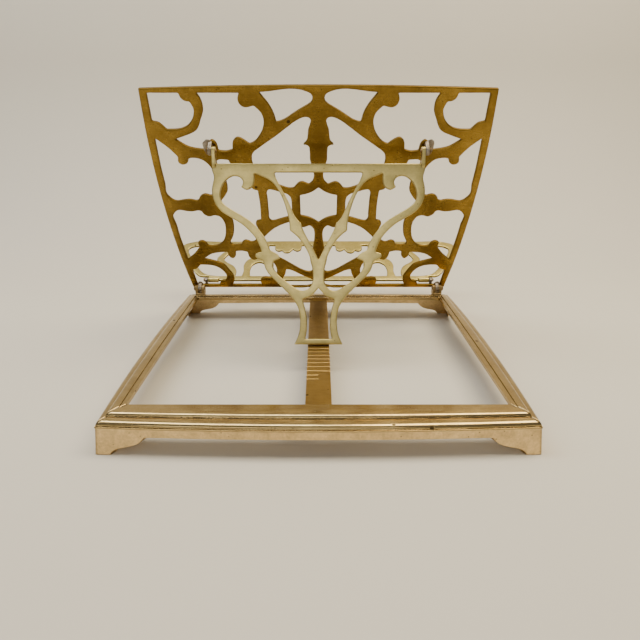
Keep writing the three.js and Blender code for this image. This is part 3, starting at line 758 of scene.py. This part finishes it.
def bar_surface(settings, low, high, first_notch):
    """The ratchet bar: a rounded oblong section carried along Y, whose top dips at each notch.

    A notch is a triangle wave a little rounded at the bottom. Each is tilted and deepened by a
    fixed amount of its own, and the last two were only filed across the bar's +X half.
    """
    rows, columns = 620, 30
    width, thick = high[0] - low[0], high[2] - low[2]
    across = np.linspace(0.6 * MM, width - 0.6 * MM, columns)
    top = np.stack([across[::-1] + low[0], np.full(columns, high[2])], 1)
    rim = rounded_loop(
        np.array([[low[0], high[2]], [low[0], low[2]], [high[0], low[2]], [high[0], high[2]]]),
        np.full(4, 0.45 * MM), np.full(4, 0.45 * MM), 6, lead=0.1 * MM)
    section = np.concatenate([top[1:-1], rim])
    y = np.linspace(low[1], high[1], rows)
    points = np.stack(np.broadcast_arrays(section[None, :, 0], y[:, None], section[None, :, 1]), -1)
    number = np.arange(settings.notch_count)
    place = first_notch + number * settings.notch_pitch + 0.35 * MM * np.sin(7.3 * number)
    tilt = 0.035 * np.sin(4.1 * number + 1)
    depth = settings.notch_depth * (0.8 + 0.25 * np.sin(5.7 * number + 2))
    x = points[..., 0][..., None]
    off = np.abs(points[..., 1][..., None] - place - tilt * x)
    half_only = 1 / (1 + np.exp(-x / (0.4 * MM)))
    reach = np.where(number >= settings.notch_count - 2, half_only, 1.0)
    wide = 1.05 * MM
    cut = (depth * reach * np.clip(1 - np.sqrt(off ** 2 + (0.15 * MM) ** 2) / wide, 0, 1)).sum(-1)
    upper = np.clip((points[..., 2] - low[2]) / thick, 0, 1) ** 4
    dip = cut * upper
    points[..., 2] -= dip
    count = len(section)
    faces = [*grid_faces(rows, count).tolist(), list(range(count)),
             list(range((rows - 1) * count, rows * count))]
    # Negative values in the grooves and notches get more tarnish and the painted shade of brass.
    worn = np.tile(-sharpness(section, 0.5 * MM), rows) - 1.6 * dip.ravel() / settings.notch_depth
    return shell(points.reshape(-1, 3), faces, worn)


# ---- operators ------------------------------------------------------------------------------
def settings_of(context):
    return context.scene.book_stand


class BOOKSTAND_OT_rails(bpy.types.Operator):
    """Makes the four moulded rails with their aprons and bracket feet"""
    bl_idname = "bookstand.rails"
    bl_label = "Rails"

    def execute(self, context):
        finish = settings_of(context).finish
        base = settings_of(context).base
        front, side = corners("front_rail"), corners("right_rail")
        middle = np.array([0, (side[0][1] + side[1][1]) / 2, 0])
        inner_long, inner_short = side[0][0], middle[1] - front[1][1]
        # The CAD boxes reach to the splayed feet, which stand this share of the width past the lip.
        lean = (base.foot_splay - APRON_SETBACK * MM) / (RAIL_WIDTH * MM)
        long_half = (front[1][0] + GAP / 2 + inner_long * lean) / (1 + lean)
        short_half = ((side[1][1] - side[0][1]) / 2 + GAP / 2 + inner_short * lean) / (1 + lean)
        bow = middle[1] - front[0][1] - short_half
        long_rail = (long_half, short_half, bow, inner_long, inner_short, middle, front[1][2])
        short_rail = (short_half, long_half, bow, inner_short, inner_long, middle, front[1][2])
        for name, turn, sizes in (("front_rail", 0, long_rail), ("rear_rail", math.pi, long_rail),
                                  ("left_rail", -math.pi / 2, short_rail),
                                  ("right_rail", math.pi / 2, short_rail)):
            lines = (0, 0, math.pi / 2) if sizes is short_rail else (0, 0, 0)
            material = brass(f"brass_{name}", finish.base, finish.base_dark, 0.17, 0.30, lines, 0.3,
                             matt=finish.apron)
            piece(f"{name}_moulding", [rail(base, turn, *sizes)], "base", [name], material)
        return {"FINISHED"}


class BOOKSTAND_OT_ratchet_bar(bpy.types.Operator):
    """Makes the notched bar that holds the strut's foot"""
    bl_idname = "bookstand.ratchet_bar"
    bl_label = "Ratchet bar"

    def execute(self, context):
        finish = settings_of(context).finish
        low, high = corners("ratchet_bar")
        foot = corners("strut")[1][1] - 1.6 * MM
        surface = bar_surface(settings_of(context).base, low, high, foot)
        material = brass("brass_bar", finish.bar, finish.bar_dark, 0.3, 0.5, grain=0.6)
        piece("notched_bar", [surface], "base", ["ratchet_bar"], material)
        return {"FINISHED"}


class BOOKSTAND_OT_back_panel(bpy.types.Operator):
    """Makes the pierced back panel"""
    bl_idname = "bookstand.back_panel"
    bl_label = "Back panel"

    def execute(self, context):
        finish = settings_of(context).finish
        plate, _ = casting("back_panel", settings_of(context).casting)
        # Painted shade: the hole walls get the dark panel colour, and worn=-0.2 darkens the arrises with
        # tarnish colour.
        material = brass("brass_panel", finish.panel, finish.panel_dark, 0.24, 0.45, grain=0.45,
                         matt=finish.panel_dark, worn=-0.2)
        piece("pierced_panel", [plate], "panel", ["back_panel"], material)
        return {"FINISHED"}


class BOOKSTAND_OT_strut(bpy.types.Operator):
    """Makes the lyre-shaped strut and the two ears that turn on its pins"""
    bl_idname = "bookstand.strut"
    bl_label = "Strut"

    def execute(self, context):
        finish = settings_of(context).finish
        plate, along = casting("strut", settings_of(context).casting)
        down = along if along[2] < 0 else -along
        shells = [plate]
        outside = corners("strut_lug_right")[0][0] - GAP
        for _, sign in SIDES:
            ends = sign * outside, sign * (outside - 3 * MM)
            shells.append(eye(ends, JOINT_AT["strut_swing"], EYE_HEAD, 1.95 * MM, down, 15 * MM, 1.6 * MM))
        # Painted shade: the hole walls get the dark strut colour.
        material = brass("brass_strut", finish.strut, finish.strut_dark, 0.3, 0.36, grain=0.5,
                         matt=finish.strut_dark, worn=0.2)
        piece("lyre_strut", shells, "strut", ["strut"], material)
        return {"FINISHED"}


class BOOKSTAND_OT_ledge(bpy.types.Operator):
    """Makes the pierced ledge and its two knuckles"""
    bl_idname = "bookstand.ledge"
    bl_label = "Ledge"

    def execute(self, context):
        finish = settings_of(context).finish
        plate, _ = casting("ledge", settings_of(context).casting)
        shells = [plate]
        end = corners("ledge_lug_right")[0][0] / MM - 0.3
        profile = np.array([
            (-12, 0), (-12, 2.3), (-11.8, 2.6), (-11.4, 2.8), (-0.5, 2.8), (-0.15, 2.65), (0, 2.3),
            (0, 1.5), (-10, 1.5), (-10, 0)]) * MM
        for _, sign in SIDES:
            places = np.stack([sign * (end * MM + profile[:, 0]), profile[:, 1]], 1)
            shells.append(lathe(places, JOINT_AT["ledge_fold"]))
        # Painted shade: the hole walls get the dark panel colour.
        material = brass("brass_ledge", finish.strut, finish.strut_dark, 0.26, 0.75, grain=0.45,
                         matt=finish.panel_dark, worn=0)
        piece("pierced_ledge", shells, "ledge", ["ledge"], material)
        return {"FINISHED"}


def panel_directions():
    """Unit vectors up the panel's slope and out of its face, from the panel's CAD face."""
    up, along, *_ = largest_face("back_panel")
    return (along if along[2] > 0 else -along), (up if up[1] < 0 else -up)


def headed_pin(node, shank):
    """A pin with a peened, domed head at its outboard end."""
    low, high = corners(node)
    head = (high[2] - low[2]) / 2
    sign = 1 if high[0] > 0 else -1
    near, far = (low[0], high[0]) if sign > 0 else (high[0], low[0])
    under = far - sign * 1.9 * MM
    rise = np.linspace(0, math.pi / 2, 7)
    dome = np.stack([far - sign * 1.2 * MM * (1 - np.sin(rise)), head * np.cos(rise)], 1)
    profile = np.array([
        (near, 0), (near, shank - 0.25 * MM), (near + sign * 0.25 * MM, shank), (under, shank),
        (under, head - 0.2 * MM), (under + sign * 0.2 * MM, head)])
    return lathe(np.concatenate([profile, dome]), (low + high) / 2)


def pin_piece(name, node, shank, body, material):
    """Makes a headed pin as a piece of its own."""
    piece(name, [headed_pin(node, shank)], body, [node], material)


class BOOKSTAND_OT_panel_hinges(bpy.types.Operator):
    """Makes the forks, pins and knuckles that the panel turns on"""
    bl_idname = "bookstand.panel_hinges"
    bl_label = "Panel hinges"

    def execute(self, context):
        finish = settings_of(context).finish
        axis = JOINT_AT["panel_tilt"]
        slope, front = panel_directions()
        down = np.array([0.0, 0, -1])
        fork_brass = brass("brass_fork", finish.base, finish.base_dark, 0.34, 0.7, grain=0.8)
        solder = dull_metal("solder_knuckle", finish.solder, finish.base_dark, 0.5, 0.4 * MM)
        peened = dull_metal("peened_pin", finish.base_dark, finish.pin, 0.45, 0.25 * MM)
        rail_top = corners("front_rail")[1][2]
        for side, sign in SIDES:
            knuckle = reach(f"panel_knuckle_{side}")
            inner = sign * (knuckle[0] - GAP - 3.2 * MM), sign * (knuckle[0] - GAP)
            outer = sign * (knuckle[1] + GAP), sign * (knuckle[1] + GAP + 3.2 * MM)
            drop = axis[2] - rail_top + 1.2 * MM
            pad = np.array([sign * knuckle.mean(), axis[1], rail_top - 0.4 * MM])
            shells = [eye(ends, axis, EYE_HEAD, EYE_BORE, down, drop, 4.3 * MM) for ends in (inner, outer)]
            shells.append(block(pad, np.array([5.1, 5.2, 1.9]) * MM, 0.4, lump=0.03))
            piece(f"fork_{side}", shells, "base", [f"hinge_fork_{side}"], fork_brass)
            ends = sign * knuckle[0], sign * knuckle[1]
            turning = eye(ends, axis, EYE_HEAD, EYE_BORE, front, 4.4 * MM, 4.6 * MM)
            seat = axis + front * 4.3 * MM + slope * 1 * MM
            seat[0] = sign * knuckle.mean()
            axes = np.stack([ACROSS, slope, front])
            fillet = block(seat, np.array([3.0, 5.6, 0.9]) * MM, 0.8, axes, 0.05)
            piece(f"knuckle_{side}", [turning, fillet], "panel",
                  [f"panel_knuckle_{side}"], solder)
            pin_piece(f"fork_pin_{side}", f"hinge_pin_{side}", 1.6 * MM, "base", peened)
        return {"FINISHED"}


class BOOKSTAND_OT_strut_hinges(bpy.types.Operator):
    """Makes the soldered lugs and peened pins that carry the strut"""
    bl_idname = "bookstand.strut_hinges"
    bl_label = "Strut hinges"

    def execute(self, context):
        finish = settings_of(context).finish
        axis = JOINT_AT["strut_swing"]
        slope, front = panel_directions()
        solder = dull_metal("solder_lug", finish.solder, finish.panel_dark, 0.5, 0.4 * MM)
        peened = dull_metal("peened_strut_pin", finish.base_dark, finish.pin, 0.45, 0.25 * MM)
        axes = np.stack([ACROSS, slope, front])
        for side, sign in SIDES:
            near, far = reach(f"strut_lug_{side}")
            lug = eye((sign * near, sign * far), axis, EYE_HEAD, EYE_BORE, front, 7.4 * MM, 5.4 * MM)
            seat = axis + front * 7.1 * MM
            seat[0] = sign * (far + 1.2 * MM)
            patch = block(seat, np.array([4.0, 6.8, 1.1]) * MM, 0.8, axes, 0.07)
            piece(f"lug_{side}", [lug, patch], "panel", [f"strut_lug_{side}"], solder)
            pin_piece(f"lug_pin_{side}", f"strut_pin_{side}", 1.6 * MM, "panel", peened)
        return {"FINISHED"}


class BOOKSTAND_OT_ledge_hinges(bpy.types.Operator):
    """Makes the lugs and pins that carry the ledge"""
    bl_idname = "bookstand.ledge_hinges"
    bl_label = "Ledge hinges"

    def execute(self, context):
        finish = settings_of(context).finish
        axis = JOINT_AT["ledge_fold"]
        _, front = panel_directions()
        solder = dull_metal("solder_ledge_lug", finish.solder, finish.panel_dark, 0.5, 0.3 * MM)
        peened = dull_metal("peened_ledge_pin", finish.base_dark, finish.pin, 0.45, 0.25 * MM)
        for side, sign in SIDES:
            ends = sign * reach(f"ledge_lug_{side}")
            lug = eye(ends, axis, 2.8 * MM, 1.45 * MM, -front, 3.5 * MM, 3.4 * MM)
            piece(f"ledge_ear_{side}", [lug], "panel", [f"ledge_lug_{side}"], solder)
            pin_piece(f"ledge_rivet_{side}", f"ledge_pin_{side}", 1.15 * MM, "panel", peened)
        return {"FINISHED"}


def softbox(name, place, aim, size, power, tint):
    """A square area light that looks from one place at another."""
    data = bpy.data.lights.new(name, "AREA")
    data.shape, data.size, data.size_y = "RECTANGLE", *size
    data.energy, data.color = power, tint
    light = bpy.data.objects.new(name, data)
    light.location = place
    light.rotation_mode = "QUATERNION"
    light.rotation_quaternion = (Vector(aim) - Vector(place)).to_track_quat("-Z", "Y")
    bpy.context.scene.collection.objects.link(light)


class BOOKSTAND_OT_stage(bpy.types.Operator):
    """Makes the pale sweep, the soft lights and the camera"""
    bl_idname = "bookstand.stage"
    bl_label = "Stage"

    def execute(self, context):
        stage = settings_of(context).stage
        side = corners("right_rail")
        middle = (side[0][1] + side[1][1]) / 2
        # The sweep's profile: level floor, a quarter circle and an upright wall, carried along X.
        wall, bend = middle - 0.52, 0.30
        turn = np.linspace(0, math.pi / 2, 24)
        y = np.concatenate([[middle + 2.6], wall + bend - bend * np.sin(turn), [wall]])
        z = np.concatenate([[0], bend - bend * np.cos(turn), [2.2]])
        x = np.array([-2.4, 2.4])
        points = np.stack(np.broadcast_arrays(x[None], y[:, None], z[:, None]), -1).reshape(-1, 3)
        row = np.arange(len(y) - 1)[:, None] * 2
        mesh = bpy.data.meshes.new("sweep")
        mesh.from_pydata(points.tolist(), [], (row + np.array([0, 2, 3, 1])).tolist())
        mesh.shade_smooth()
        finish = Finish("pale_sweep")
        cloudy = finish.noise(finish.place(), 9, 3)
        pale = finish.mix(cloudy, rgba(stage.floor), rgba([value * 0.97 for value in stage.floor]))
        mesh.materials.append(finish.surface({"Base Color": pale, "Roughness": 0.85}))
        sweep = bpy.data.objects.new("sweep", mesh)
        context.scene.collection.objects.link(sweep)
        centre = (0, middle, 0.08)
        softbox("overhead", (0.34, middle - 0.05, 1.05), centre, (0.34, 0.8), 7.5, (1, 0.99, 0.95))
        softbox("warm_side", (-0.46, middle - 0.05, 1.0), centre, (0.46, 0.8), 14, (1, 0.88, 0.64))
        softbox("window", (1.0, middle - 0.1, 0.9), centre, (0.5, 0.6), 4, (0.93, 0.97, 1))
        softbox("room", (0.2, middle + 1.5, 0.75), centre, (1.2, 0.7), 4.5, (1, 0.98, 0.93))
        world = bpy.data.worlds.new("studio")
        world.use_nodes = True
        background = world.node_tree.nodes["Background"].inputs
        background["Color"].default_value = (0.93, 0.92, 0.90, 1)
        background["Strength"].default_value = 0.28
        context.scene.world = world
        data = bpy.data.cameras.new("camera")
        data.sensor_width, data.lens, data.shift_x = 36, stage.focal_length, 0.0023
        data.clip_start = 0.01
        camera = bpy.data.objects.new("camera", data)
        camera.location = (0, middle + stage.camera_distance, stage.camera_height)
        camera.rotation_euler = (math.pi / 2 - stage.pitch, 0, math.pi)
        context.scene.collection.objects.link(camera)
        context.scene.camera = camera
        return {"FINISHED"}


OPERATORS = (
    BOOKSTAND_OT_stage, BOOKSTAND_OT_rails, BOOKSTAND_OT_ratchet_bar, BOOKSTAND_OT_back_panel,
    BOOKSTAND_OT_strut, BOOKSTAND_OT_ledge, BOOKSTAND_OT_panel_hinges, BOOKSTAND_OT_strut_hinges,
    BOOKSTAND_OT_ledge_hinges)


class BOOKSTAND_PT_panel(bpy.types.Panel):
    """Lists the settings and the operators"""
    bl_label = "Book Stand"
    bl_idname = "BOOKSTAND_PT_panel"
    bl_space_type = "VIEW_3D"
    bl_region_type = "UI"
    bl_category = "Book Stand"

    def draw(self, context):
        stand = settings_of(context)
        for group in (stand.casting, stand.base, stand.finish, stand.stage):
            box = self.layout.box()
            for name in group.__annotations__:
                box.prop(group, name)
        for operator in OPERATORS:
            self.layout.operator(operator.bl_idname)


CLASSES = (CastingSettings, BaseSettings, FinishSettings, StageSettings, BookStandSettings,
           *OPERATORS, BOOKSTAND_PT_panel)


def register():
    for kind in CLASSES:
        bpy.utils.register_class(kind)
    bpy.types.Scene.book_stand = PointerProperty(type=BookStandSettings)


def unregister():
    del bpy.types.Scene.book_stand
    for kind in reversed(CLASSES):
        bpy.utils.unregister_class(kind)


def main():
    register()
    for operator in OPERATORS:
        group, name = operator.bl_idname.split(".")
        getattr(getattr(bpy.ops, group), name)()


if __name__ == "__main__":
    main()
